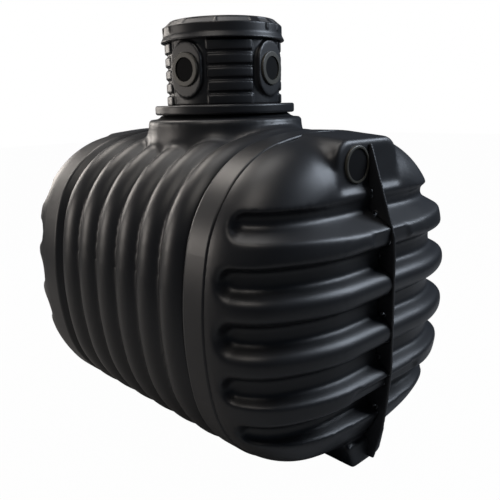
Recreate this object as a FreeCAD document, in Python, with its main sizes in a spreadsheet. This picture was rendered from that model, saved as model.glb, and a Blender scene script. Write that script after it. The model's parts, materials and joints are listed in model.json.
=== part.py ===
import FreeCAD, Part
import math
import os
import Sketcher

# Underground water tank: a ribbed polyethylene barrel lying on its side, with a grooved domed end
# at each end, a neck, a turret with four pipe seals and a lift-off lid.
# X runs along the barrel, Z is up, and the origin lies under the middle, between the feet's soles.

os.makedirs("parts", exist_ok=True)
doc = FreeCAD.newDocument("water_tank")
sheet = doc.addObject("Spreadsheet::Sheet", "sizes")

# Driving dimensions, in millimetres and degrees. Heights are measured from the barrel's axis.
DRIVING = [
    ("axis_height", 880),
    ("wall", 10),
    ("crest_half", 843),
    ("side_radius", 1600),
    ("corner_centre", 214),
    ("rib_pitch", 190),
    ("rib_pairs", 3),
    ("rib_depth", 40),
    ("valley_radius", 12),
    ("band_width", 181.5),
    ("band_drop", 5),
    ("band_shoulder", 25),
    ("crease_drop", 15),
    ("crease_radius", 12),
    ("crease_lip", 30),
    ("end_drop", 11),
    ("end_reach", 406.5),
    ("tip_radius", 840),
    ("shoulder_radius", 340),
    ("crown_radius", 280),
    ("groove_pitch", 246),
    ("groove_depth", 85),
    ("groove_fillet", 22),
    ("ridge_radius", 65),
    ("ridge_land", 2),
    ("flank_angle", 24),
    ("groove_setback", 98),
    ("outer_groove_depth", 136),
    ("outer_groove_setback", 146),
    ("outer_groove_tip_radius", 600),
    ("outer_groove_shoulder", 220),
    ("outer_groove_side", 152),
    ("outer_groove_fillet", 25),
    ("outer_ridge_radius", 35),
    ("outer_flank_angle", 29),
    ("recess_depth", 30),
    ("recess_rise", 20),
    ("recess_fall", 60),
    ("recess_half", 270),
    ("upper_recess_depth", 20),
    ("upper_recess_half", 150),
    ("recess_corner", 12),
    ("upper_recess_fall", 50),
    ("inlet_half_width", 245),
    ("inlet_sill", 567),
    ("inlet_top", 805),
    ("inlet_rise", 26),
    ("inlet_face_back", 26),
    ("inlet_corner", 100),
    ("inlet_edge", 25),
    ("inlet_port_side", 97),
    ("inlet_port_height", 690),
    ("inlet_seal_radius", 88),
    ("inlet_plug_radius", 75),
    ("seal_height", 12),
    ("seal_round", 6),
    ("plug_height", 6),
    ("seal_clearance", 0.3),
    ("web_thickness", 14),
    ("web_proud", 6),
    ("web_hole_radius", 7),
    ("foot_half_width", 105),
    ("foot_flare", 60),
    ("foot_height", 150),
    ("foot_length", 215),
    ("foot_back", 40),
    ("foot_round", 40),
    ("neck_radius", 440),
    ("neck_foot", 720),
    ("neck_top", 900),
    ("neck_shoulder", 20),
    ("bore_radius", 300),
    ("neck_rim_radius", 372),
    ("neck_rim_height", 24),
    ("collar_radius", 397),
    ("collar_height", 51),
    ("collar_round", 12),
    ("turret_wall", 12),
    ("turret_height", 360),
    ("turret_turn", 10),
    ("band_height", 49),
    ("band_gap", 20),
    ("band_proud", 14),
    ("band_sweep", 44),
    ("pad_half_width", 105),
    ("pad_face", 324),
    ("pad_height", 183),
    ("turret_seal_radius", 88),
    ("turret_plug_radius", 62),
    ("lid_lap", 26),
    ("lid_clearance", 5.5),
    ("lid_wall", 15),
    ("lid_lip", 13),
    ("lid_lip_height", 30),
    ("lid_lip_edge", 6),
    ("lid_height", 111),
    ("lid_bevel", 34),
    ("lid_shoulder", 40),
    ("lid_top_wall", 12),
    ("slot_depth", 5),
    ("slot_margin", 6),
    ("slot_sweep", 32.5),
    ("slot_offset", 17.25),
    ("short_slot_sweep", 14),
    ("short_slot_offset", 51),
    ("slot_turn", -57.5),
    ("catch_height", 30),
    ("catch_proud", 5),
    ("catch_sweep", 3),
    ("lid_seat_gap", 0.3),
    ("lid_seat_width", 28),
]

# Worked dimensions, each a formula on the cells above.
WORKED = [
    ("rib_half", "=rib_pitch / 2"),
    ("ribs_end", "=rib_pairs * rib_pitch"),
    ("side_drop", "=side_radius - crest_half"),
    ("corner_reach", "=sqrt(corner_centre ^ 2 + (corner_centre + side_drop) ^ 2)"),
    ("corner_radius", "=side_radius - corner_reach"),
    ("seam_across", "=side_radius * corner_centre / corner_reach"),
    ("seam_up", "=side_radius * (corner_centre + side_drop) / corner_reach - side_drop"),
    ("wheel", "=(rib_half ^ 2 + rib_depth ^ 2) / (2 * rib_depth)"),
    ("crest_curve", "=wheel - valley_radius"),
    ("rib_turn", "=rib_half * crest_curve / wheel"),
    ("rib_turn_drop", "=crest_curve - (wheel - rib_depth) * crest_curve / wheel"),
    ("crest_curve_in", "=crest_curve - wall"),
    ("valley_radius_in", "=valley_radius + wall"),
    ("rib_turn_in", "=rib_half * crest_curve_in / wheel"),
    ("rib_turn_drop_in", "=crest_curve - (wheel - rib_depth) * crest_curve_in / wheel"),
    ("rib_floor_in", "=rib_depth + wall"),
    ("half_turn", "=sqrt(0.5)"),
    ("band_foot", "=valley_radius * half_turn"),
    ("band_foot_drop", "=rib_depth - valley_radius * (1 - half_turn)"),
    ("band_top", "=rib_depth - band_drop + (band_shoulder + valley_radius) * (2 * half_turn - 1)"),
    ("band_slope", "=band_top - band_shoulder * half_turn"),
    ("band_slope_drop", "=band_drop + band_shoulder * (1 - half_turn)"),
    ("crease_run", "=sqrt(crease_radius ^ 2 - (crease_radius - crease_drop + band_drop) ^ 2)"),
    ("crease_start", "=band_width - crease_run"),
    ("crease_floor_in", "=crease_drop + wall"),
    ("band_drop_in", "=band_drop + wall"),
    ("band_shoulder_in", "=band_shoulder - wall"),
    ("band_slope_in", "=band_top - band_shoulder_in * half_turn"),
    ("band_slope_drop_in", "=band_drop + band_shoulder - band_shoulder_in * half_turn"),
    ("band_foot_in", "=valley_radius_in * half_turn"),
    ("band_foot_drop_in", "=rib_depth - valley_radius + valley_radius_in * half_turn"),
    ("lip_start", "=band_width - crease_lip"),
    ("lip_slope", "=lip_start - wall"),
    ("neck_wall_in", "=neck_radius - wall"),
    ("neck_top_in", "=neck_top - wall"),
    ("neck_shoulder_start", "=neck_top - neck_shoulder"),
    ("neck_shoulder_end", "=neck_radius - neck_shoulder"),
    ("neck_rim_top", "=neck_top + neck_rim_height"),
    ("collar_top", "=neck_rim_top + collar_height"),
    ("collar_round_low", "=neck_rim_top + collar_round"),
    ("collar_round_high", "=collar_top - collar_round"),
    ("collar_flat", "=collar_radius - collar_round"),
    ("turret_radius", "=bore_radius + turret_wall"),
    ("turret_top", "=collar_top + turret_height"),
    ("band_pitch", "=band_height + band_gap"),
    ("band_root", "=bore_radius + turret_wall / 2"),
    ("band_radius", "=turret_radius + band_proud"),
    ("pad_root", "=bore_radius * 0.8"),
    ("pad_depth", "=pad_face - pad_root"),
    ("port_height", "=collar_top + pad_height"),
    ("end_base", "=ribs_end + band_width"),
    ("seal_shoulder", "=seal_height - seal_round"),
    ("turret_seal_radius_hole", "=turret_plug_radius + seal_clearance"),
    ("turret_seal_radius_flat", "=turret_seal_radius - seal_round"),
    ("inlet_seal_radius_hole", "=inlet_plug_radius + seal_clearance"),
    ("inlet_seal_radius_flat", "=inlet_seal_radius - seal_round"),
    ("inlet_face", "=end_base + crown_radius - inlet_face_back"),
    ("lid_foot", "=turret_top - lid_lap"),
    ("lid_top", "=lid_foot + lid_height"),
    ("lid_inside", "=turret_radius + lid_clearance"),
    ("lid_radius", "=lid_inside + lid_wall"),
    ("lid_rim", "=lid_radius + lid_lip"),
    ("lid_lip_top", "=lid_foot + lid_lip_height"),
    ("lid_lip_low", "=lid_foot + lid_lip_edge"),
    ("lid_bevel_foot", "=lid_top - lid_bevel"),
    ("lid_flat", "=lid_radius - lid_shoulder"),
    ("lid_roof", "=lid_top - lid_top_wall"),
    ("lid_inner_foot", "=lid_bevel_foot - lid_top_wall / 4"),
    ("lid_slope", "=sqrt(lid_bevel ^ 2 + lid_shoulder ^ 2)"),
    ("slope_out", "=lid_bevel / lid_slope"),
    ("slope_up", "=lid_shoulder / lid_slope"),
    ("slot_low_out", "=lid_radius - slot_margin * slope_up"),
    ("slot_low_up", "=lid_bevel_foot + slot_margin * slope_out"),
    ("slot_high_out", "=lid_flat + slot_margin * slope_up"),
    ("slot_high_up", "=lid_top - slot_margin * slope_out"),
    ("slot_cut_out", "=slot_depth * slope_out"),
    ("slot_cut_up", "=slot_depth * slope_up"),
    ("floor_low_out", "=slot_low_out - slot_cut_out"),
    ("floor_low_up", "=slot_low_up - slot_cut_up"),
    ("floor_high_out", "=slot_high_out - slot_cut_out"),
    ("floor_high_up", "=slot_high_up - slot_cut_up"),
    ("clear_low_out", "=slot_low_out + slot_cut_out"),
    ("clear_low_up", "=slot_low_up + slot_cut_up"),
    ("clear_high_out", "=slot_high_out + slot_cut_out"),
    ("clear_high_up", "=slot_high_up + slot_cut_up"),
    ("catch_root", "=lid_radius - lid_wall / 2"),
    ("catch_face", "=lid_radius + catch_proud"),
    ("catch_foot", "=lid_bevel_foot - catch_height"),
    ("pad_half_height", "=lid_foot - lid_clearance - port_height"),
    ("pad_straight", "=pad_half_height - pad_half_width"),
    ("lid_seat", "=turret_top + lid_seat_gap"),
    ("lid_seat_out", "=bore_radius + turret_wall - 1"),
    ("lid_seat_in", "=lid_seat_out - lid_seat_width"),
]

BAND_COUNT = 5
for number in range(BAND_COUNT):
    WORKED.append((f"band_{number + 1}_foot", f"=collar_top + {number} * band_pitch"))
    WORKED.append((f"band_{number + 1}_top", f"=band_{number + 1}_foot + band_height"))
WORKED[-1] = (f"band_{BAND_COUNT}_top", "=lid_foot - lid_clearance")

for row, (alias, entry) in enumerate(DRIVING + WORKED, start=1):
    sheet.set(f"A{row}", alias.replace("_", " "))
    sheet.set(f"B{row}", str(entry))
    sheet.setAlias(f"B{row}", alias)
doc.recompute()


def size(term):
    """The value of a cell, of minus a cell, or a plain zero."""
    if term == 0:
        return 0.0
    if term.startswith("-"):
        return -float(sheet.get(term[1:]))
    return float(sheet.get(term))


def cell(term):
    """The expression that reads a cell, or minus a cell."""
    if term.startswith("-"):
        return "-sizes." + term[1:]
    return "sizes." + term


def plane_of(body, role):
    """One of the body's own origin planes or axes."""
    return [feature for feature in body.Origin.OriginFeatures if feature.Role == role][0]


def new_body(name, turn=None):
    """A body whose own axis is the barrel's, set up at the axis height."""
    body = doc.addObject("PartDesign::Body", name)
    body.Label = name
    upright = FreeCAD.Rotation(FreeCAD.Vector(0, 0, 1), 0)
    body.Placement = FreeCAD.Placement(FreeCAD.Vector(0, 0, 0), upright)
    body.setExpression(".Placement.Base.z", "sizes.axis_height")
    if turn is not None:
        body.setExpression(".Placement.Rotation.Angle", turn)
    return body


def new_sketch(body, name, role, shift=(0, 0, 0), swing=0):
    """A sketch on one of the body's planes, shifted by cells and swung about its own Y."""
    sketch = body.newObject("Sketcher::SketchObject", name)
    sketch.AttachmentSupport = [(plane_of(body, role), "")]
    sketch.MapMode = "FlatFace"
    place = FreeCAD.Vector(*[size(term) for term in shift])
    sketch.AttachmentOffset = FreeCAD.Placement(place, FreeCAD.Rotation(FreeCAD.Vector(0, 1, 0), swing))
    for axis, term in zip("xyz", shift):
        if term != 0:
            sketch.setExpression(f".AttachmentOffset.Base.{axis}", cell(term))
    return sketch


def arc_between(start, end, radius, side):
    """The short arc from start to end, with its centre on the left or right of the way."""
    chord = end.sub(start)
    middle = start.add(end).multiply(0.5)
    across = FreeCAD.Vector(-chord.y, chord.x, 0).normalize()
    if side == "right":
        across = across.negative()
    rise = math.sqrt(max(radius ** 2 - (chord.Length / 2) ** 2, 0))
    centre = middle.add(across.multiply(rise))
    first, last = (start, end) if side == "left" else (end, start)
    begin = math.atan2(first.y - centre.y, first.x - centre.x)
    finish = math.atan2(last.y - centre.y, last.x - centre.x)
    if finish < begin:
        finish += 2 * math.pi
    circle = Part.Circle(centre, FreeCAD.Vector(0, 0, 1), radius)
    return Part.ArcOfCircle(circle, begin, finish)


def pin(sketch, edge, end, across, up):
    """Holds one end of an edge at the coordinates that two cells give."""
    for kind, term in (("DistanceX", across), ("DistanceY", up)):
        index = sketch.addConstraint(Sketcher.Constraint(kind, edge, end, size(term)))
        if term != 0:
            sketch.setExpression(f"Constraints[{index}]", cell(term))


def draw_outline(sketch, corners):
    """A closed outline. A corner is (across, up), or (across, up, radius, side) before an arc."""
    count = len(corners)
    points = [FreeCAD.Vector(size(corner[0]), size(corner[1]), 0) for corner in corners]
    ends = []
    for number, corner in enumerate(corners):
        start = points[number]
        end = points[(number + 1) % count]
        if len(corner) == 2:
            edge = sketch.addGeometry(Part.LineSegment(start, end), False)
            ends.append((edge, 1, 2))
            continue
        edge = sketch.addGeometry(arc_between(start, end, size(corner[2]), corner[3]), False)
        ends.append((edge, 1, 2) if corner[3] == "left" else (edge, 2, 1))
    for number, corner in enumerate(corners):
        edge, start_end, far_end = ends[number]
        after, after_start, _ = ends[(number + 1) % count]
        sketch.addConstraint(Sketcher.Constraint("Coincident", edge, far_end, after, after_start))
    for number, corner in enumerate(corners):
        edge, start_end, _ = ends[number]
        pin(sketch, edge, start_end, corner[0], corner[1])
        if len(corner) == 4:
            index = sketch.addConstraint(Sketcher.Constraint("Radius", edge, size(corner[2])))
            sketch.setExpression(f"Constraints[{index}]", cell(corner[2]))


def revolve(body, name, sketch, axis, sweep=None, kind="Revolution"):
    """Revolves a sketch about one of its axes, right round or by a cell's angle, half each way."""
    feature = body.newObject("PartDesign::" + kind, name)
    feature.Profile = sketch
    feature.ReferenceAxis = (sketch, [axis])
    feature.Angle = 360
    if sweep is not None:
        feature.Midplane = True
        feature.setExpression("Angle", cell(sweep))
    sketch.Visibility = False
    return feature


def pattern(body, name, originals, role, copies):
    """Repeats features evenly right round one of the body's origin axes."""
    feature = body.newObject("PartDesign::PolarPattern", name)
    feature.Originals = originals
    feature.Axis = (plane_of(body, role), [""])
    feature.Angle = 360
    feature.Occurrences = copies
    body.Tip = feature
    return feature


# The barrel's rings. The section is four wide side arcs and four corner arcs, all tangent, and a
# ring is one profile swept round that section.
SECTION = [
    (0, "crest_half", "side_radius", "right"),
    ("seam_across", "seam_up", "corner_radius", "right"),
    ("seam_up", "seam_across", "side_radius", "right"),
    ("seam_up", "-seam_across", "corner_radius", "right"),
    ("seam_across", "-seam_up", "side_radius", "right"),
    ("-seam_across", "-seam_up", "corner_radius", "right"),
    ("-seam_up", "-seam_across", "side_radius", "right"),
    ("-seam_up", "seam_across", "corner_radius", "right"),
    ("-seam_across", "seam_up", "side_radius", "right"),
]

RIB_PROFILE = [
    ("-rib_half", "-rib_depth", "valley_radius", "left"),
    ("-rib_turn", "-rib_turn_drop", "crest_curve", "right"),
    ("rib_turn", "-rib_turn_drop", "valley_radius", "left"),
    ("rib_half", "-rib_depth"),
    ("rib_half", "-rib_floor_in", "valley_radius_in", "right"),
    ("rib_turn_in", "-rib_turn_drop_in", "crest_curve_in", "left"),
    ("-rib_turn_in", "-rib_turn_drop_in", "valley_radius_in", "right"),
    ("-rib_half", "-rib_floor_in"),
]

BAND_PROFILE = [
    (0, "-rib_depth", "valley_radius", "left"),
    ("band_foot", "-band_foot_drop"),
    ("band_slope", "-band_slope_drop", "band_shoulder", "right"),
    ("band_top", "-band_drop"),
    ("crease_start", "-band_drop", "crease_radius", "right"),
    ("band_width", "-crease_drop"),
    ("band_width", "-crease_floor_in"),
    ("lip_start", "-crease_floor_in"),
    ("lip_slope", "-band_drop_in"),
    ("band_top", "-band_drop_in", "band_shoulder_in", "left"),
    ("band_slope_in", "-band_slope_drop_in"),
    ("band_foot_in", "-band_foot_drop_in", "valley_radius_in", "right"),
    (0, "-rib_floor_in"),
]


def ring(name, profile, along, turn=None):
    """One ring of the barrel, its profile's zero at the place along X that a formula gives."""
    body = new_body(name, turn)
    section = new_sketch(body, name + "_section", "YZ_Plane")
    section.setExpression(".AttachmentOffset.Base.z", along)
    draw_outline(section, SECTION)
    outline = new_sketch(body, name + "_profile", "XZ_Plane", (0, "crest_half", 0))
    outline.setExpression(".AttachmentOffset.Base.x", along)
    draw_outline(outline, profile)
    wall_ring = body.newObject("PartDesign::AdditivePipe", name + "_ring")
    wall_ring.Profile = outline
    wall_ring.Spine = (section, [f"Edge{number}" for number in range(1, len(SECTION) + 1)])
    return body


def cut_for_neck(body):
    """Opens the top of a ring to the neck's outside."""
    cutter = body.newObject("PartDesign::SubtractiveCylinder", body.Name + "_neck_opening")
    cutter.setExpression("Radius", "sizes.neck_radius")
    cutter.setExpression("Height", "sizes.crest_half * 2")
    body.Tip = cutter


NODES = []
rib_total = 2 * int(size("rib_pairs"))
for number in range(1, rib_total + 1):
    place = f"({number} - sizes.rib_pairs - 0.5) * sizes.rib_pitch"
    rib = ring(f"barrel_rib_{number}", RIB_PROFILE, place)
    cut_for_neck(rib)
    NODES.append(rib)
NODES.append(ring("front_band", BAND_PROFILE, "sizes.ribs_end"))
NODES.append(ring("rear_band", BAND_PROFILE, "sizes.ribs_end", "180"))


# The neck: a wide tube that grows out of the ribs, with a flat top and a narrower rim on it.
neck = new_body("neck")
neck_profile = new_sketch(neck, "neck_profile", "XZ_Plane")
draw_outline(neck_profile, [
    ("neck_wall_in", "neck_foot"),
    ("neck_radius", "neck_foot"),
    ("neck_radius", "neck_shoulder_start", "neck_shoulder", "left"),
    ("neck_shoulder_end", "neck_top"),
    ("neck_rim_radius", "neck_top"),
    ("neck_rim_radius", "neck_rim_top"),
    ("bore_radius", "neck_rim_top"),
    ("bore_radius", "neck_top_in"),
    ("neck_wall_in", "neck_top_in"),
])
revolve(neck, "neck_tube", neck_profile, "V_Axis")
NODES.append(neck)

# The collar: a thick rounded ring that clamps the turret to the neck's rim.
collar = new_body("collar")
collar_profile = new_sketch(collar, "collar_profile", "XZ_Plane")
draw_outline(collar_profile, [
    ("bore_radius", "neck_rim_top"),
    ("collar_flat", "neck_rim_top", "collar_round", "left"),
    ("collar_radius", "collar_round_low"),
    ("collar_radius", "collar_round_high", "collar_round", "left"),
    ("collar_flat", "collar_top"),
    ("bore_radius", "collar_top"),
])
revolve(collar, "collar_ring", collar_profile, "V_Axis")
NODES.append(collar)

# The turret: a tube with raised bands between four flat oval pads for pipe seals.
turret = new_body("turret", "sizes.turret_turn")
tube_profile = new_sketch(turret, "tube_profile", "XZ_Plane")
draw_outline(tube_profile, [
    ("bore_radius", "collar_top"),
    ("turret_radius", "collar_top"),
    ("turret_radius", "turret_top"),
    ("bore_radius", "turret_top"),
])
revolve(turret, "turret_tube", tube_profile, "V_Axis")
pad_sketch = new_sketch(turret, "pad_outline", "YZ_Plane", (0, "port_height", "pad_root"))
draw_outline(pad_sketch, [
    ("pad_half_width", "-pad_straight"),
    ("pad_half_width", "pad_straight", "pad_half_width", "left"),
    (0, "pad_half_height", "pad_half_width", "left"),
    ("-pad_half_width", "pad_straight"),
    ("-pad_half_width", "-pad_straight", "pad_half_width", "left"),
    (0, "-pad_half_height", "pad_half_width", "left"),
])
pad_boss = turret.newObject("PartDesign::Pad", "pad_boss")
pad_boss.Profile = pad_sketch
pad_boss.setExpression("Length", "sizes.pad_depth")
band_sketch = new_sketch(turret, "turret_band_profile", "XZ_Plane", swing=45)
for number in range(BAND_COUNT):
    low = f"band_{number + 1}_foot"
    high = f"band_{number + 1}_top"
    draw_outline(band_sketch, [
        ("band_root", low),
        ("band_radius", low),
        ("band_radius", high),
        ("band_root", high),
    ])
bands = revolve(turret, "turret_bands", band_sketch, "V_Axis", "band_sweep")
pattern(turret, "pads_and_bands", [pad_boss, bands], "Z_Axis", 4)
shaft = turret.newObject("PartDesign::SubtractiveCylinder", "shaft")
shaft.setExpression("Radius", "sizes.bore_radius")
shaft.setExpression("Height", "sizes.turret_top * 2")
turret.Tip = shaft
NODES.append(turret)


def seal(name, plug, radius, face, side, height, turn=None):
    """A rubber ring seated on a flat face that looks along X, or the closed disc inside one."""
    body = new_body(name, turn)
    profile = new_sketch(body, name + "_profile", "XZ_Plane", (face, height, side))
    if plug:
        draw_outline(profile, [
            (0, 0),
            ("plug_height", 0),
            ("plug_height", radius),
            (0, radius),
        ])
    else:
        draw_outline(profile, [
            (0, radius + "_hole"),
            ("seal_height", radius + "_hole"),
            ("seal_height", radius + "_flat", "seal_round", "left"),
            ("seal_shoulder", radius),
            (0, radius),
        ])
    revolve(body, name + "_form", profile, "H_Axis")
    return body


# Every port has a rubber ring and a closed disc: four round the turret and one on each inlet box.
for number in range(1, 5):
    turn = f"sizes.turret_turn + {90 * (number - 1)}"
    place = ("pad_face", 0, "port_height", turn)
    NODES.append(seal(f"turret_seal_{number}", False, "turret_seal_radius", *place))
    NODES.append(seal(f"turret_plug_{number}", True, "turret_plug_radius", *place))
for end, turn in (("front", None), ("rear", "180")):
    place = ("inlet_face", "inlet_port_side", "inlet_port_height", turn)
    NODES.append(seal(f"{end}_inlet_seal", False, "inlet_seal_radius", *place))
    NODES.append(seal(f"{end}_inlet_plug", True, "inlet_plug_radius", *place))

# The lid: a moulded cap with a flared lip round its foot, whose inner rim rests on the turret. Its
# sloping shoulder has three pairs of long shallow slots, with a short slot and a catch beside each.
lid = new_body("lid", "sizes.turret_turn")
lid_profile = new_sketch(lid, "lid_profile", "XZ_Plane")
draw_outline(lid_profile, [
    (0, "lid_top"),
    ("lid_flat", "lid_top"),
    ("lid_radius", "lid_bevel_foot"),
    ("lid_radius", "lid_lip_top"),
    ("lid_rim", "lid_lip_low"),
    ("lid_rim", "lid_foot"),
    ("lid_inside", "lid_foot"),
    ("lid_inside", "lid_inner_foot"),
    ("lid_seat_out", "lid_inner_foot"),
    ("lid_seat_out", "lid_seat"),
    ("lid_seat_in", "lid_seat"),
    ("lid_seat_in", "lid_roof"),
    (0, "lid_roof"),
])
revolve(lid, "lid_form", lid_profile, "V_Axis")
repeated = []
for side in (-1, 1):
    for offset, sweep in (("slot_offset", "slot_sweep"), ("short_slot_offset", "short_slot_sweep")):
        angle = size("slot_turn") + side * size(offset)
        name = f"{sweep}_{side + 1}"
        slot_profile = new_sketch(lid, name + "_profile", "XZ_Plane", swing=angle)
        draw_outline(slot_profile, [
            ("floor_low_out", "floor_low_up"),
            ("clear_low_out", "clear_low_up"),
            ("clear_high_out", "clear_high_up"),
            ("floor_high_out", "floor_high_up"),
        ])
        repeated.append(revolve(lid, name, slot_profile, "V_Axis", sweep, "Groove"))
    catch_profile = new_sketch(lid, f"catch_{side + 1}_profile", "XZ_Plane", swing=angle)
    draw_outline(catch_profile, [
        ("catch_root", "catch_foot"),
        ("catch_face", "catch_foot"),
        ("catch_face", "lid_bevel_foot"),
        ("catch_root", "lid_bevel_foot"),
    ])
    repeated.append(revolve(lid, f"catch_{side + 1}", catch_profile, "V_Axis", "catch_sweep"))
pattern(lid, "slots_and_catches", repeated, "Z_Axis", 3)
NODES.append(lid)


# The domed ends. A dome is its own profile swept round the barrel's section, down to a flat middle.
# Five level grooves run round it, each with rounded ends, and the wall follows them inside.
BASE = size("end_base")
REACH = size("end_reach")
WALL = size("wall")
PITCH = size("groove_pitch")
LONG = 3 * size("crest_half")
X_AXIS = FreeCAD.Vector(1, 0, 0)
Z_AXIS = FreeCAD.Vector(0, 0, 1)


def wire_from(corners, closed=True):
    """A wire in the XY plane. A corner is (x, y), or (x, y, radius, side) before an arc."""
    points = [FreeCAD.Vector(corner[0], corner[1], 0) for corner in corners]
    edges = []
    for number, corner in enumerate(corners):
        if number == len(corners) - 1 and not closed:
            break
        start = points[number]
        end = points[(number + 1) % len(points)]
        if len(corner) == 4:
            edges.append(arc_between(start, end, corner[2], corner[3]).toShape())
        else:
            edges.append(Part.LineSegment(start, end).toShape())
    return Part.Wire(edges)


def stand_up(shape):
    """Turns a shape drawn in the XY plane into the XZ plane."""
    upright = shape.copy()
    upright.rotate(FreeCAD.Vector(0, 0, 0), X_AXIS, 90)
    return upright


def square_to_x(along):
    """The placement that stands a flat drawing square to X, its own axes along Y and Z."""
    return FreeCAD.Placement(FreeCAD.Vector(along, 0, 0), FreeCAD.Rotation(0.5, 0.5, 0.5, 0.5))


def section_wire(half, along):
    """The barrel's section at another half size, square to X."""
    side = half + size("side_drop")
    corner = half - size("crest_half") + size("corner_radius")
    across = side * size("corner_centre") / size("corner_reach")
    up = side * (size("corner_centre") + size("side_drop")) / size("corner_reach") - size("side_drop")
    wire = wire_from([
        (0, half, side, "right"),
        (across, up, corner, "right"),
        (up, across, side, "right"),
        (up, -across, corner, "right"),
        (across, -up, side, "right"),
        (-across, -up, corner, "right"),
        (-up, -across, side, "right"),
        (-up, across, corner, "right"),
        (-across, up, side, "right"),
    ])
    wire.Placement = square_to_x(along)
    return wire


def two_arcs(base, tip, side, tip_arc, shoulder_arc):
    """Corners from a flat tip out to the side: half of the flat, and where the two arcs meet."""
    along = base - tip + tip_arc
    across = math.sqrt((tip_arc - shoulder_arc) ** 2 - along ** 2)
    flat = side - shoulder_arc - across
    turn = math.atan2(across, along)
    meet = (tip - tip_arc + tip_arc * math.cos(turn), flat + tip_arc * math.sin(turn))
    return flat, meet


def dome(tip_arc, shoulder_arc, reach, grow):
    """A closed dome on the barrel's end, smaller all over by grow."""
    half = size("crest_half") - size("end_drop")
    tip = BASE + reach
    if tip_arc is None:
        flat = half - shoulder_arc
        curve = [(tip - grow, flat, shoulder_arc - grow, "left")]
    else:
        flat, meet = two_arcs(BASE, tip, half, tip_arc, shoulder_arc)
        turn = math.atan2(meet[1] - flat, meet[0] - tip + tip_arc)
        inner_meet = (meet[0] - grow * math.cos(turn), meet[1] - grow * math.sin(turn))
        curve = [
            (tip - grow, flat, tip_arc - grow, "left"),
            (inner_meet[0], inner_meet[1], shoulder_arc - grow, "left"),
        ]
    profile = stand_up(wire_from([(BASE, flat)] + curve + [(BASE, half - grow)]))
    spine = section_wire(size("crest_half"), BASE)
    skirt = spine.makePipeShell([profile], True, False)
    core = Part.Face(section_wire(flat, BASE)).extrude(FreeCAD.Vector(reach - grow, 0, 0))
    return skirt.fuse(core).removeSplitter()


def groove_half(depth, outer, grow):
    """The upper half of a groove's section, from its floor out past the lip: (out, up) corners."""
    kind = "outer_" if outer else ""
    angle = math.radians(size(kind + "flank_angle"))
    fillet = size(kind + "groove_fillet")
    ridge = size(kind + "ridge_radius")
    lip = (PITCH - size("ridge_land")) / 2
    run = depth - ridge - fillet + (ridge + fillet) * math.sin(angle)
    floor = lip - (ridge + fillet) * math.cos(angle) - run * math.tan(angle)
    low = (fillet - (fillet + grow) * math.sin(angle), floor + (fillet + grow) * math.cos(angle))
    high = (depth - ridge + (ridge - grow) * math.sin(angle), lip - (ridge - grow) * math.cos(angle))
    return [
        (-grow, floor, fillet + grow, "right"),
        low,
        (high[0], high[1], ridge - grow, "left"),
        (depth - grow, lip),
        (depth + PITCH, lip),
    ]


def mirror_corners(corners):
    """The same run of corners below the middle, in the other order."""
    lower = []
    for number in range(len(corners) - 1, -1, -1):
        across, up = corners[number][0], -corners[number][1]
        if number > 0 and len(corners[number - 1]) == 4:
            lower.append((across, up, corners[number - 1][2], corners[number - 1][3]))
        else:
            lower.append((across, up))
    return lower


def groove(outer, height, grow):
    """One groove's cutter: its section swept round the end, and a round nose at each end of it."""
    half = size("crest_half") - size("end_drop")
    if outer:
        depth = size("outer_groove_depth")
        tip = BASE + REACH - size("outer_groove_setback")
        side = half - size("outer_groove_side")
        tip_arc = size("outer_groove_tip_radius")
        shoulder = size("outer_groove_shoulder")
    else:
        depth = size("groove_depth")
        tip = BASE + REACH - depth
        side = half - depth
        tip_arc = size("tip_radius") - depth
        shoulder = size("shoulder_radius") - depth
    flat, meet = two_arcs(BASE, tip, side, tip_arc, shoulder)
    swing = math.acos(size("groove_setback") / shoulder)
    end = (BASE + shoulder * math.cos(swing), side - shoulder + shoulder * math.sin(swing))
    upper = groove_half(depth, outer, grow)
    profile = stand_up(wire_from(mirror_corners(upper) + upper))
    profile.translate(FreeCAD.Vector(tip, 0, 0))
    spine = wire_from([
        (tip, 0),
        (tip, flat, tip_arc, "left"),
        (meet[0], meet[1], shoulder, "left"),
        end,
    ], False)
    channel = spine.makePipeShell([profile], True, False)
    half_face = Part.Face(stand_up(wire_from([(-grow, 0)] + upper + [(depth + PITCH, 0)])))
    nose = half_face.revolve(FreeCAD.Vector(0, 0, 0), X_AXIS, 360)
    nose.rotate(FreeCAD.Vector(0, 0, 0), Z_AXIS, math.degrees(swing))
    nose.translate(FreeCAD.Vector(end[0], end[1], 0))
    one_side = channel.fuse(nose)
    other_side = one_side.mirror(FreeCAD.Vector(0, 0, 0), FreeCAD.Vector(0, 1, 0))
    cutter = one_side.fuse(other_side)
    cutter.translate(FreeCAD.Vector(0, 0, height))
    return cutter


def slab(low, high):
    """The space round the front end between two heights."""
    box = Part.makeBox(LONG, LONG, high - low)
    box.translate(FreeCAD.Vector(0, -LONG / 2, low))
    return box


def recess(height, depth, fall, half, grow):
    """The cutter of a lifting recess: a flat shelf cut into a ridge, with rounded corners."""
    low = height - fall - grow
    tall = size("recess_rise") + fall + 2 * grow
    box = Part.makeBox(LONG, 2 * (half + grow), tall)
    box.translate(FreeCAD.Vector(BASE + REACH - depth - grow, -half - grow, low))
    along = [item for item in box.Edges if item.BoundBox.XMax - item.BoundBox.XMin > LONG / 2]
    return box.makeFillet(size("recess_corner") + grow, along)


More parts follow.
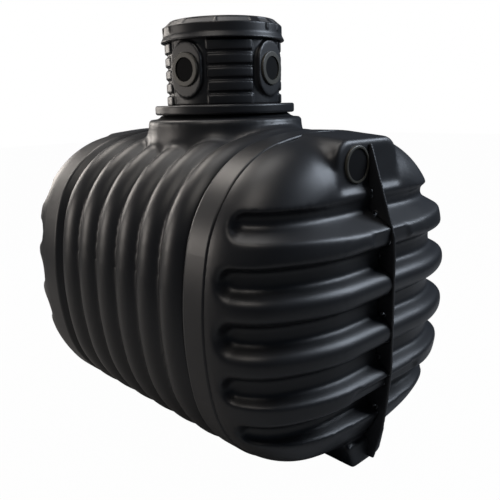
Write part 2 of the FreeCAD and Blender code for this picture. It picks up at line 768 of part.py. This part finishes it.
def end_form(grow):
    """The closed end as six level strips, from the keel up to the crown, smaller by grow."""
    full = dome(size("tip_radius"), size("shoulder_radius"), REACH, grow)
    crown = dome(None, size("crown_radius"), size("crown_radius"), grow)
    notch = Part.makeBox(LONG, 2 * (size("inlet_half_width") + grow), LONG)
    edge = size("inlet_half_width") + grow
    notch.translate(FreeCAD.Vector(size("inlet_face") - grow, -edge, size("inlet_sill") - grow))
    cutters = [groove(abs(step) == 2, step * PITCH, grow) for step in range(-2, 3)]
    forms = []
    for step in range(-3, 3):
        low = step * PITCH if step > -3 else -LONG
        high = (step + 1) * PITCH if step < 2 else LONG
        piece = crown if step == 2 else full
        beside = [cutters[index] for index in (step + 2, step + 3) if 0 <= index < len(cutters)]
        if step == 2:
            beside.append(notch)
        if step == 1:
            pocket = [size("upper_recess_" + term) for term in ("depth", "fall", "half")]
            beside.append(recess(1.5 * PITCH, *pocket, grow))
        if step == -2:
            pocket = [size("recess_" + term) for term in ("depth", "fall", "half")]
            beside.append(recess(-1.5 * PITCH, *pocket, grow))
        forms.append(piece.common(slab(low, high)).cut(beside))
    return forms


def add_piece(name, shape, rear=False):
    """A node for the front end, or the same shape turned to the rear end."""
    piece = doc.addObject("Part::Feature", name)
    piece.Label = name
    piece.Shape = shape.Solids[0] if len(shape.Solids) == 1 else shape
    turn = FreeCAD.Rotation(Z_AXIS, 180 if rear else 0)
    piece.Placement = FreeCAD.Placement(FreeCAD.Vector(0, 0, size("axis_height")), turn)
    NODES.append(piece)


def inlet_form(grow):
    """The inlet box's block: a round-topped face, rising slightly towards the barrel."""
    half = size("inlet_half_width") - grow
    corner = size("inlet_corner") - grow
    face = size("inlet_face") - grow
    sections = []
    for along, top in ((face, size("inlet_top")), (BASE, size("inlet_top") + size("inlet_rise"))):
        shoulder = top - grow - corner
        wire = wire_from([
            (-half, size("inlet_sill") + grow),
            (half, size("inlet_sill") + grow),
            (half, shoulder, corner, "left"),
            (half - corner, top - grow),
            (corner - half, top - grow, corner, "left"),
            (-half, shoulder),
        ])
        wire.Placement = square_to_x(along)
        sections.append(wire)
    block = Part.makeLoft(sections, True, True)
    edge = size("inlet_edge") - grow
    sill = size("inlet_sill") + 2 * WALL
    rounded = [item for item in block.Edges
               if item.BoundBox.XMin > face - 1 and item.BoundBox.ZMax > sill]
    return block.makeFillet(edge, rounded)


OUTSIDE = end_form(0)
INSIDE = end_form(WALL)
BOX = inlet_form(0)
BOX_INSIDE = inlet_form(WALL)

# The web: a thin upright plate down the middle of the end, standing proud of the ridges.
half_web = size("web_thickness") / 2
tip = BASE + REACH + size("web_proud")
WEB_EDGE = [
    (size("inlet_face") + 2 * size("web_proud"), size("inlet_top") - size("inlet_edge")),
    (tip - 6, 1.45 * PITCH),
    (tip, PITCH),
    (tip, -1.3 * PITCH),
    (tip - 22, -2.13 * PITCH),
    (tip - 45, -2.7 * PITCH),
    (tip - 95, -3.4 * PITCH),
]
web_back = BASE + 4 * WALL
web_outline = WEB_EDGE + [
    (web_back, WEB_EDGE[-1][1]),
    (web_back, size("inlet_top") - 2 * size("inlet_edge")),
]
plate = Part.Face(stand_up(wire_from(web_outline))).extrude(FreeCAD.Vector(0, size("web_thickness"), 0))
plate.translate(FreeCAD.Vector(0, -half_web, 0))
web = plate.cut(OUTSIDE + [BOX])
# Each hole's setback from the web's edge, and its height in groove pitches.
HOLES = [(113, 1.84), (96, 1.04), (56, -0.13), (82, -1.05), (89, -2.16)]
for setback, steps in HOLES:
    drill = Part.makeCylinder(size("web_hole_radius"), 2 * size("web_thickness"))
    drill.rotate(FreeCAD.Vector(0, 0, 0), X_AXIS, -90)
    drill.translate(FreeCAD.Vector(tip - setback, -size("web_thickness"), steps * PITCH))
    web = web.cut(drill)

# The foot: a tapered block under the end, with a flat sole that the tank rests on.
sole = -size("axis_height")
foot_top = sole + size("foot_height")
wide = size("foot_half_width") + size("foot_flare")
foot_outline = wire_from([
    (-size("foot_half_width"), sole),
    (size("foot_half_width"), sole),
    (wide, foot_top),
    (-wide, foot_top),
])
foot_outline.Placement = square_to_x(BASE)
block = Part.Face(foot_outline).extrude(FreeCAD.Vector(size("foot_length") + size("foot_back"), 0, 0))
corners = [item for item in block.Edges
           if abs(item.BoundBox.ZMin - sole) < 1 and abs(item.BoundBox.ZMax - sole) < 1
           and item.BoundBox.XMax > BASE + 1]
block = block.makeFillet(size("foot_round"), corners)
foot = block.cut(OUTSIDE)
web = web.cut(block)

END_PIECES = {}
for number, name in enumerate(["keel", "rib_4", "rib_3", "rib_2", "rib_1", "crown"]):
    END_PIECES["end_" + name] = OUTSIDE[number].cut(INSIDE[number])
END_PIECES["end_crown"] = END_PIECES["end_crown"].cut(BOX_INSIDE)
END_PIECES["inlet_box"] = BOX.cut([BOX_INSIDE, OUTSIDE[-1]])
END_PIECES["web"] = web
END_PIECES["foot"] = foot
for end in ("front", "rear"):
    for name, shape in END_PIECES.items():
        add_piece(f"{end}_{name}", shape, end == "rear")


doc.recompute()
failed = [item.Name for item in doc.Objects if "Invalid" in item.State or "Error" in item.State]
if failed:
    raise RuntimeError("failed objects: " + ", ".join(failed))
for node in NODES:
    if node.Shape.isNull() or not node.Shape.isValid():
        raise RuntimeError("bad shape: " + node.Label)
for node in NODES:
    node.Shape.exportStep(f"parts/{node.Label}.step")
print(len(NODES), "nodes written")
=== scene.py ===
import json
import math

import bmesh
import bpy
from mathutils import Matrix, Vector

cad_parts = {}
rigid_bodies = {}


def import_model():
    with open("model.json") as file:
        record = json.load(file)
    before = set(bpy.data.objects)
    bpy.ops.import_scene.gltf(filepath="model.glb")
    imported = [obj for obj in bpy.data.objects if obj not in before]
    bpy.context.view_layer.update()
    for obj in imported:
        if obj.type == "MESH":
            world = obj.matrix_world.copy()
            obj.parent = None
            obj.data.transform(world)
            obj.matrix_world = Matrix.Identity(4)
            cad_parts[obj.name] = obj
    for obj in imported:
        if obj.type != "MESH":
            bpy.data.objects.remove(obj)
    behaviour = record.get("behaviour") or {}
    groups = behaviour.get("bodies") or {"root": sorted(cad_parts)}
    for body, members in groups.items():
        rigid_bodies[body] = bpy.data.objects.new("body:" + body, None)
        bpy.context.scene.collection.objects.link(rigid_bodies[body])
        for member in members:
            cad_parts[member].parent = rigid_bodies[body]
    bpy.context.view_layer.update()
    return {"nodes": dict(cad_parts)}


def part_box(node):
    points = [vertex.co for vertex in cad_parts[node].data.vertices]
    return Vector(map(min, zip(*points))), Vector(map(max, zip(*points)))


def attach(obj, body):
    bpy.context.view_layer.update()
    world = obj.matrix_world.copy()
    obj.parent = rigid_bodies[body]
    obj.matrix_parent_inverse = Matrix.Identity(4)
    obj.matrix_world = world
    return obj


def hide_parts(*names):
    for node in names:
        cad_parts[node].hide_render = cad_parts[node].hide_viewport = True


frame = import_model()

# Barrel
# Six rounded ribs and the neck that rises from their middle, melted from polyethylene powder in one
# blasted steel mould. The skin is near black and satin, with a faint pebble and no gloss coat, and
# every inside corner has the soft fillet that the powder leaves.
SHELL_COLOUR = (0.0100, 0.0105, 0.0122, 1.0)
SHELL_COLOUR_PALE = (0.0150, 0.0155, 0.0172, 1.0)
SHELL_ROUGHNESS = 0.41
SHELL_PEBBLE = 0.10
MOTTLE_SCALE = 4.0
MOTTLE_DETAIL = 7.0
MOTTLE_ROUGHNESS = 0.6
MOTTLE_LOW = 0.3
MOTTLE_HIGH = 0.7
ROUGHNESS_DOWN = 0.025
ROUGHNESS_UP = 0.035
PEBBLE_SCALE = 380.0
PEBBLE_DETAIL = 3.0
PEBBLE_DEPTH = 0.0005
PLASTIC_IOR = 1.5


def moulded_finish(name, colour, pale_colour, roughness, pebble):
    """A satin moulded plastic or rubber: slow mottling in tone and roughness, and a fine pebble."""
    material = bpy.data.materials.new(name)
    material.use_nodes = True
    nodes, links = material.node_tree.nodes, material.node_tree.links
    shader = nodes["Principled BSDF"]
    shader.inputs["IOR"].default_value = PLASTIC_IOR
    place = nodes.new("ShaderNodeTexCoord")

    mottle = nodes.new("ShaderNodeTexNoise")
    mottle.inputs["Scale"].default_value = MOTTLE_SCALE
    mottle.inputs["Detail"].default_value = MOTTLE_DETAIL
    mottle.inputs["Roughness"].default_value = MOTTLE_ROUGHNESS
    links.new(place.outputs["Object"], mottle.inputs["Vector"])
    tone = nodes.new("ShaderNodeMix")
    tone.data_type = "RGBA"
    tone.inputs["A"].default_value = colour
    tone.inputs["B"].default_value = pale_colour
    links.new(mottle.outputs["Fac"], tone.inputs["Factor"])
    links.new(tone.outputs["Result"], shader.inputs["Base Color"])

    sheen = nodes.new("ShaderNodeMapRange")
    sheen.inputs["From Min"].default_value = MOTTLE_LOW
    sheen.inputs["From Max"].default_value = MOTTLE_HIGH
    sheen.inputs["To Min"].default_value = roughness - ROUGHNESS_DOWN
    sheen.inputs["To Max"].default_value = roughness + ROUGHNESS_UP
    links.new(mottle.outputs["Fac"], sheen.inputs["Value"])
    links.new(sheen.outputs["Result"], shader.inputs["Roughness"])

    grain = nodes.new("ShaderNodeTexNoise")
    grain.inputs["Scale"].default_value = PEBBLE_SCALE
    grain.inputs["Detail"].default_value = PEBBLE_DETAIL
    links.new(place.outputs["Object"], grain.inputs["Vector"])
    bump = nodes.new("ShaderNodeBump")
    bump.inputs["Strength"].default_value = pebble
    bump.inputs["Distance"].default_value = PEBBLE_DEPTH
    links.new(grain.outputs["Fac"], bump.inputs["Height"])
    links.new(bump.outputs["Normal"], shader.inputs["Normal"])
    return material


shell_plastic = moulded_finish(
    "moulded_polyethylene", SHELL_COLOUR, SHELL_COLOUR_PALE, SHELL_ROUGHNESS, SHELL_PEBBLE)


def cover(piece, material):
    """Gives a piece one material all over."""
    piece.data.materials.clear()
    piece.data.materials.append(material)


def finish_piece(piece, material, body):
    """One material all over, and the body that carries the piece."""
    cover(piece, material)
    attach(piece, body)


def only(piece):
    """Deselects everything and then picks the one piece."""
    bpy.ops.object.select_all(action="DESELECT")
    bpy.context.view_layer.objects.active = piece
    piece.select_set(True)


MERGE_REACH = 0.0002


def joined_copy(name, members):
    """One new piece made of copies of CAD nodes without their tags, with the joints merged."""
    bpy.ops.object.select_all(action="DESELECT")
    for member in members:
        part = frame["nodes"][member].copy()
        part.data = part.data.copy()
        part.parent = None
        for key in list(part.keys()):
            del part[key]
        bpy.context.scene.collection.objects.link(part)
        part.select_set(True)
        bpy.context.view_layer.objects.active = part
    if len(members) > 1:
        bpy.ops.object.join()
    piece = bpy.context.active_object
    piece.name = name
    piece.data.name = name
    bpy.ops.object.mode_set(mode="EDIT")
    bpy.ops.mesh.select_all(action="SELECT")
    bpy.ops.mesh.remove_doubles(threshold=MERGE_REACH)
    bpy.ops.object.mode_set(mode="OBJECT")
    return piece


RIM_REACH = 0.0003
PLATE_THICKNESS = 0.013


def close_opening(piece, axis, place):
    """Closes an opening that lies across an axis at one place with a flat plate just inside it."""
    bpy.ops.object.mode_set(mode="EDIT")
    shell = bmesh.from_edit_mesh(piece.data)
    rim = [v for v in shell.verts if abs(v.co[axis] - place) < RIM_REACH]
    inward = Vector()
    inward[axis] = -math.copysign(PLATE_THICKNESS, place)
    plate = [shell.verts.new(v.co + shift) for v in rim for shift in (Vector(), inward)]
    bmesh.ops.convex_hull(shell, input=plate)
    bmesh.update_edit_mesh(piece.data)
    bpy.ops.object.mode_set(mode="OBJECT")


SOFTENING = 0.5


def melt(piece, grain, rounds):
    """Melts a piece into one skin of even grain, and softens its edges as a hot mould does."""
    only(piece)
    skin = piece.modifiers.new("melt", "REMESH")
    skin.mode = "VOXEL"
    skin.voxel_size = grain
    bpy.ops.object.modifier_apply(modifier="melt")
    soften = piece.modifiers.new("soften", "SMOOTH")
    soften.factor = SOFTENING
    soften.iterations = rounds
    bpy.ops.object.modifier_apply(modifier="soften")
    bpy.ops.object.shade_smooth()


def keep_linked(piece, vertex):
    """Keeps the loose part of a piece that holds one vertex, and deletes the others."""
    only(piece)
    bpy.ops.object.mode_set(mode="EDIT")
    bpy.ops.mesh.select_all(action="DESELECT")
    shell = bmesh.from_edit_mesh(piece.data)
    shell.verts.ensure_lookup_table()
    shell.verts[vertex].select_set(True)
    bmesh.update_edit_mesh(piece.data)
    bpy.ops.mesh.select_linked()
    bpy.ops.mesh.select_all(action="INVERT")
    bpy.ops.mesh.delete(type="VERT")
    bpy.ops.object.mode_set(mode="OBJECT")


def fillet(piece, near, rounds):
    """Smooths only the points that a test picks, which fills a sharp inside corner."""
    only(piece)
    bpy.ops.object.mode_set(mode="EDIT")
    bpy.ops.mesh.select_all(action="DESELECT")
    shell = bmesh.from_edit_mesh(piece.data)
    for v in shell.verts:
        v.select_set(near(v.co))
    shell.select_flush_mode()
    bmesh.update_edit_mesh(piece.data)
    bpy.ops.mesh.vertices_smooth(factor=SOFTENING, repeat=rounds)
    bpy.ops.object.mode_set(mode="OBJECT")


ALONG, UP = 0, 2
BARREL_GRAIN = 0.0128
BARREL_ROUNDS = 4
NECK_TOP = 1.804
NECK_RADIUS = 0.440
NECK_FOOT_LOW = 1.50
NECK_FOOT_HIGH = 1.745
NECK_FILLETS = ((0.055, 6), (0.040, 12), (0.028, 16))
SHAFT_RADIUS = 0.320
SHAFT_RIM = 0.010
barrel_nodes = ["neck"] + [f"barrel_rib_{number}" for number in range(1, 7)]
barrel = joined_copy("tank_barrel", barrel_nodes)
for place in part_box("barrel_rib_1")[0].x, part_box("barrel_rib_6")[1].x:
    close_opening(barrel, ALONG, place)
close_opening(barrel, UP, NECK_TOP)
melt(barrel, BARREL_GRAIN, BARREL_ROUNDS)
keep_linked(barrel, max(barrel.data.vertices, key=lambda v: v.co.z).index)
for reach, rounds in NECK_FILLETS:
    fillet(barrel, lambda co: NECK_FOOT_LOW < co.z < NECK_FOOT_HIGH
           and abs(math.hypot(co.x, co.y) - NECK_RADIUS) < reach, rounds)
# The plate that closed the neck is cut away again over the shaft.
only(barrel)
bpy.ops.object.mode_set(mode="EDIT")
bpy.ops.mesh.select_all(action="DESELECT")
shell = bmesh.from_edit_mesh(barrel.data)
bpy.context.tool_settings.mesh_select_mode = (False, False, True)
for face in shell.faces:
    centre = face.calc_center_median()
    face.select_set(centre.z > NECK_TOP - SHAFT_RIM and math.hypot(centre.x, centre.y) < SHAFT_RADIUS)
bmesh.update_edit_mesh(barrel.data)
bpy.ops.mesh.delete(type="FACE")
bpy.context.tool_settings.mesh_select_mode = (True, False, False)
bpy.ops.object.mode_set(mode="OBJECT")
finish_piece(barrel, shell_plastic, "tank")
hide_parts(*barrel_nodes)

# End bands
# A flat band stiffens each end of the barrel, with a crease where the domed end begins. They come from
# the same mould as the ribs.
CREASE_ANGLE = 35


def smooth_between_creases(piece):
    """Shades a piece smooth, apart from its sharp edges."""
    only(piece)
    bpy.ops.object.shade_smooth_by_angle(angle=math.radians(CREASE_ANGLE))


for member in ("front_band", "rear_band"):
    cover(frame["nodes"][member], shell_plastic)
    smooth_between_creases(frame["nodes"][member])

# Domed ends
# Each end is a dome crossed by five deep grooves that leave four round ridges. An inlet box stands out
# of its crown and a foot below carries the tank; all of it is one moulding.
STRIPS = ("keel", "rib_4", "rib_3", "rib_2", "rib_1", "crown")
DOME_GRAIN = 0.0092
DOME_ROUNDS = 3
DOME_BASE_KEPT = 0.035
DOME_SOFTENING = 7
FOOT_START = 0.800
FOOT_REACH = 1.12
BOX_SIDE = 0.263
BOX_SIDE_LOW = 1.44
BOX_SIDE_HIGH = 1.705
BOX_SIDE_END = 0.985
BOX_SIDE_FILLETS = ((0.085, 14), (0.065, 20), (0.045, 30))
BOX_LIP_LOW = 1.36
BOX_LIP_HIGH = 1.55
BOX_LIP_START = 0.80
BOX_LIP_HALF = 0.33
BOX_LIP_SOFTENING = 16


def stretch_foot(piece):
    """Stretches the foot, the loose part that stands on the floor, towards the web's edge."""
    only(piece)
    bpy.ops.object.mode_set(mode="EDIT")
    bpy.ops.mesh.select_all(action="DESELECT")
    shell = bmesh.from_edit_mesh(piece.data)
    min(shell.verts, key=lambda v: v.co.z).select_set(True)
    bmesh.update_edit_mesh(piece.data)
    bpy.ops.mesh.select_linked()
    shell = bmesh.from_edit_mesh(piece.data)
    for v in shell.verts:
        if v.select and abs(v.co.x) > FOOT_START:
            v.co.x = math.copysign(FOOT_START + (abs(v.co.x) - FOOT_START) * FOOT_REACH, v.co.x)
    bmesh.update_edit_mesh(piece.data)
    bpy.ops.object.mode_set(mode="OBJECT")


for end in ("front", "rear"):
    end_nodes = [f"{end}_end_{strip}" for strip in STRIPS] + [f"{end}_inlet_box", f"{end}_foot"]
    dome = joined_copy(f"{end}_domed_end", end_nodes)
    base = min((corner.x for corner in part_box(f"{end}_end_keel")), key=abs)
    close_opening(dome, ALONG, base)
    stretch_foot(dome)
    melt(dome, DOME_GRAIN, DOME_ROUNDS)
    keep_linked(dome, max(dome.data.vertices, key=lambda v: abs(v.co.x)).index)
    fillet(dome, lambda co: abs(co.x) > abs(base) + DOME_BASE_KEPT, DOME_SOFTENING)
    for reach, rounds in BOX_SIDE_FILLETS:
        fillet(dome, lambda co: BOX_SIDE_LOW < co.z < BOX_SIDE_HIGH and abs(co.x) < BOX_SIDE_END
               and abs(abs(co.y) - BOX_SIDE) < reach, rounds)
    fillet(dome, lambda co: BOX_LIP_LOW < co.z < BOX_LIP_HIGH and abs(co.x) > BOX_LIP_START
           and abs(co.y) < BOX_LIP_HALF, BOX_LIP_SOFTENING)
    finish_piece(dome, shell_plastic, "tank")
    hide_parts(*end_nodes)

# Webs
# A thin upright plate down the middle of each end ties the ridges together. Five eyelets with raised
# rims take the slings that lift the tank.
WEB_GRAIN = 0.0048
WEB_ROUNDS = 2
WEB_HALF = 0.007
EYELETS = ((1.051, 1.333), (1.068, 1.136), (1.108, 0.848), (1.082, 0.622), (1.075, 0.349))
EYELET_RADIUS = 0.0135
EYELET_RIM = 0.0048
EYELET_STEPS = 40
EYELET_RIM_STEPS = 12
for end, way in (("front", 1), ("rear", -1)):
    web = joined_copy(f"{end}_web_plate", [f"{end}_web"])
    melt(web, WEB_GRAIN, WEB_ROUNDS)
    rims = []
    for along, height in EYELETS:
        for face in (-1, 1):
            bpy.ops.mesh.primitive_torus_add(
                location=(way * along, face * WEB_HALF, height), rotation=(math.pi / 2, 0, 0),
                major_radius=EYELET_RADIUS, minor_radius=EYELET_RIM,
                major_segments=EYELET_STEPS, minor_segments=EYELET_RIM_STEPS)
            rims.append(bpy.context.active_object)
    bpy.ops.object.select_all(action="DESELECT")
    for rim in rims:
        rim.select_set(True)
    web.select_set(True)
    bpy.context.view_layer.objects.active = web
    bpy.ops.object.join()
    bpy.ops.object.shade_smooth()
    finish_piece(web, shell_plastic, "tank")
    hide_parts(f"{end}_web")

# Collar
# A thick rounded ring lies on the neck's rim and holds the turret. It is moulded from the same
# plastic.
cover(frame["nodes"]["collar"], shell_plastic)
smooth_between_creases(frame["nodes"]["collar"])

# Turret
# A moulded tube stands on the collar, with raised bands between four flat oval pads. The pipe ports
# are cut in the pads.
TURRET_GRAIN = 0.0052
TURRET_ROUNDS = 8
turret = joined_copy("turret_tube", ["turret"])
melt(turret, TURRET_GRAIN, TURRET_ROUNDS)
finish_piece(turret, shell_plastic, "tank")
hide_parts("turret")

# Lid
# A loose moulded cap with a flared lip. Shallow slots run round its sloping shoulder, with painted
# light on their floors, and the small catch below each short slot is painted dark as painted shade.
LID_GRAIN = 0.0042
LID_ROUNDS = 1
SHOULDER_OUT = 0.3325
SHOULDER_FOOT = 2.266
SHOULDER_WAY_OUT = 0.648
SHOULDER_WAY_UP = 0.762
FLOOR_FOOT = 2.262
FLOOR_SHALLOWEST = 0.0028
FLOOR_DEEPEST = 0.0080
CATCH_OUT = 0.336
CATCH_FOOT = 2.23
SQUARE_ENOUGH = 0.90
LID_AXIS_REACH = 0.001
# The pale slot-floor colours are painted light on the floors of the slots.
SLOT_FLOOR_LIGHT_COLOUR = (0.060, 0.060, 0.062, 1)
SLOT_FLOOR_LIGHT_COLOUR_PALE = (0.095, 0.094, 0.094, 1)
# The near-black catch colours are painted shade on the catches.
CATCH_SHADE_COLOUR = (0.004, 0.004, 0.0045, 1)
CATCH_SHADE_COLOUR_PALE = (0.006, 0.006, 0.0065, 1)
LIT_FLOOR_SLOT = 1
CATCH_SHADE_SLOT = 2
slot_floor_light_paint = moulded_finish(
    "slot_floor_painted_light", SLOT_FLOOR_LIGHT_COLOUR, SLOT_FLOOR_LIGHT_COLOUR_PALE, roughness=0.5, pebble=0.3)
catch_painted_shade = moulded_finish(
    "catch_painted_shade", CATCH_SHADE_COLOUR, CATCH_SHADE_COLOUR_PALE, roughness=0.6, pebble=0.1)
lid = joined_copy("lid_cap", ["lid"])
melt(lid, LID_GRAIN, LID_ROUNDS)
finish_piece(lid, shell_plastic, "lid")
lid.data.materials.append(slot_floor_light_paint)
lid.data.materials.append(catch_painted_shade)
for face in lid.data.polygons:
    centre, normal = face.center, face.normal
    out = math.hypot(centre.x, centre.y)
    depth = (SHOULDER_OUT - out) * SHOULDER_WAY_OUT + (SHOULDER_FOOT - centre.z) * SHOULDER_WAY_UP
    outward = (normal.x * centre.x + normal.y * centre.y) / max(out, LID_AXIS_REACH)
    square = outward * SHOULDER_WAY_OUT + normal.z * SHOULDER_WAY_UP
    # Slot-floor faces that face up and out get the pale painted light.
    if square > SQUARE_ENOUGH and FLOOR_SHALLOWEST < depth < FLOOR_DEEPEST and centre.z > FLOOR_FOOT:
        face.material_index = LIT_FLOOR_SLOT
    # The outward faces of each catch get the near-black painted shade.
    if outward > SQUARE_ENOUGH and out > CATCH_OUT and centre.z > CATCH_FOOT:
        face.material_index = CATCH_SHADE_SLOT
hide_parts("lid")

# Pipe seals
# A rubber ring with a rolled lip is pressed round each port, and a plain rubber disc closes it until
# the pipe goes in.
SEAL_COLOUR = (0.050, 0.047, 0.038, 1)
SEAL_COLOUR_PALE = (0.070, 0.066, 0.052, 1)
PLUG_COLOUR = (0.003, 0.0031, 0.0036, 1)
PLUG_COLOUR_PALE = (0.005, 0.0051, 0.0056, 1)
PLUG_GLINT = 0.12
seal_rubber = moulded_finish(
    "seal_rubber", SEAL_COLOUR, SEAL_COLOUR_PALE, roughness=0.42, pebble=0.2)
plug_rubber = moulded_finish(
    "plug_rubber", PLUG_COLOUR, PLUG_COLOUR_PALE, roughness=0.70, pebble=0.2)
plug_rubber.node_tree.nodes["Principled BSDF"].inputs["Specular IOR Level"].default_value = PLUG_GLINT
for name, node in frame["nodes"].items():
    if "seal" in name or "plug" in name:
        cover(node, seal_rubber if "seal" in name else plug_rubber)
        smooth_between_creases(node)

# Studio
# A plain white room whose floor keeps a faint shadow. Three warm soft banks stand on the left and one
# stands high in front, a milder one hangs overhead, and a cool one stands high on the right.
FLOOR_SIZE = 60
PAPER_COLOUR = (0.35, 0.35, 0.35, 1)
PAPER_ROUGHNESS = 0.9
PAPER_GLOW = 0.985
ROOM_COLOUR = (0.60, 0.75, 1.0, 1)
ROOM_STRENGTH = 0.06
TANK_CENTRE = Vector((0.0, 0.0, 1.0))
WARM = (1.0, 0.93, 0.86)
WARMEST = (1.0, 0.92, 0.85)
MILD = (1.0, 0.97, 0.94)
COOL = (0.78, 0.87, 1.0)

bpy.ops.mesh.primitive_plane_add(size=FLOOR_SIZE, location=(0, 0, 0))
floor = bpy.context.active_object
floor.name = "floor"
paper = bpy.data.materials.new("paper")
paper.use_nodes = True
nodes, links = paper.node_tree.nodes, paper.node_tree.links
matt = nodes["Principled BSDF"]
matt.inputs["Base Color"].default_value = PAPER_COLOUR
matt.inputs["Roughness"].default_value = PAPER_ROUGHNESS
glow = nodes.new("ShaderNodeEmission")
path = nodes.new("ShaderNodeLightPath")
share = nodes.new("ShaderNodeMath")
share.operation = "MULTIPLY"
share.inputs[1].default_value = PAPER_GLOW
blend = nodes.new("ShaderNodeMixShader")
links.new(path.outputs["Is Camera Ray"], share.inputs[0])
links.new(share.outputs["Value"], blend.inputs["Fac"])
links.new(matt.outputs["BSDF"], blend.inputs[1])
links.new(glow.outputs["Emission"], blend.inputs[2])
links.new(blend.outputs["Shader"], nodes["Material Output"].inputs["Surface"])
floor.data.materials.append(paper)

world = bpy.data.worlds.new("studio")
bpy.context.scene.world = world
world.use_nodes = True
nodes, links = world.node_tree.nodes, world.node_tree.links
room = nodes["Background"]
room.inputs["Color"].default_value = ROOM_COLOUR
room.inputs["Strength"].default_value = ROOM_STRENGTH
backdrop = nodes.new("ShaderNodeBackground")
backdrop.inputs["Color"].default_value = (1, 1, 1, 1)
path = nodes.new("ShaderNodeLightPath")
blend = nodes.new("ShaderNodeMixShader")
links.new(path.outputs["Is Camera Ray"], blend.inputs["Fac"])
links.new(room.outputs["Background"], blend.inputs[1])
links.new(backdrop.outputs["Background"], blend.inputs[2])
links.new(blend.outputs["Shader"], nodes["World Output"].inputs["Surface"])


def soft_bank(name, way, far, side, radiance, colour):
    """A square soft panel of a given radiance, a distance away from the tank's centre and facing it."""
    lamp = bpy.data.lights.new(name, "AREA")
    lamp.shape = "SQUARE"
    lamp.size = side
    lamp.energy = radiance * math.pi * side * side
    lamp.color = colour
    bank = bpy.data.objects.new(name, lamp)
    bpy.context.scene.collection.objects.link(bank)
    bank.location = TANK_CENTRE + Vector(way).normalized() * far
    bank.visible_camera = False
    bank.rotation_euler = (TANK_CENTRE - bank.location).to_track_quat("-Z", "Y").to_euler()


soft_bank("left_bank", (-0.95, -0.12, 0.28), far=5.5, side=1.8, radiance=7.5, colour=WARM)
soft_bank("high_left_bank", (-0.60, -0.10, 0.79), far=5.5, side=1.8, radiance=8.0, colour=WARM)
soft_bank("low_bank", (-0.64, -0.74, 0.20), far=5.5, side=1.5, radiance=8.5, colour=WARMEST)
soft_bank("high_front_bank", (0.24, -0.52, 0.82), far=5.5, side=1.8, radiance=5.0, colour=WARM)
soft_bank("overhead_bank", (-0.06, -0.08, 0.99), far=5.0, side=2.0, radiance=4.0, colour=MILD)
soft_bank("far_bank", (0.57, 0.57, 0.59), far=5.5, side=2.4, radiance=11.5, colour=COOL)

# Camera
# It stands where the photograph was taken from, level with the collar, and is turned and rolled as it
# was there, with the same lens.
SENSOR_WIDTH = 36.0
FOCAL_LENGTH = 43.23
CAMERA_PLACE = (2.6673, -2.3599, 1.846)
CAMERA_TURN = 46.5368
CAMERA_DOWN = 13.5412
CAMERA_ROLL = -1.5591
lens = bpy.data.cameras.new("camera")
lens.sensor_width = SENSOR_WIDTH
lens.lens = FOCAL_LENGTH
camera = bpy.data.objects.new("camera", lens)
bpy.context.scene.collection.objects.link(camera)
turn = Matrix.Rotation(math.radians(CAMERA_TURN), 4, "Z")
tilt = Matrix.Rotation(math.radians(90 - CAMERA_DOWN), 4, "X")
roll = Matrix.Rotation(math.radians(CAMERA_ROLL), 4, "Z")
camera.matrix_world = Matrix.Translation(CAMERA_PLACE) @ turn @ tilt @ roll
bpy.context.scene.camera = camera
bpy.context.scene.view_settings.view_transform = "Standard"
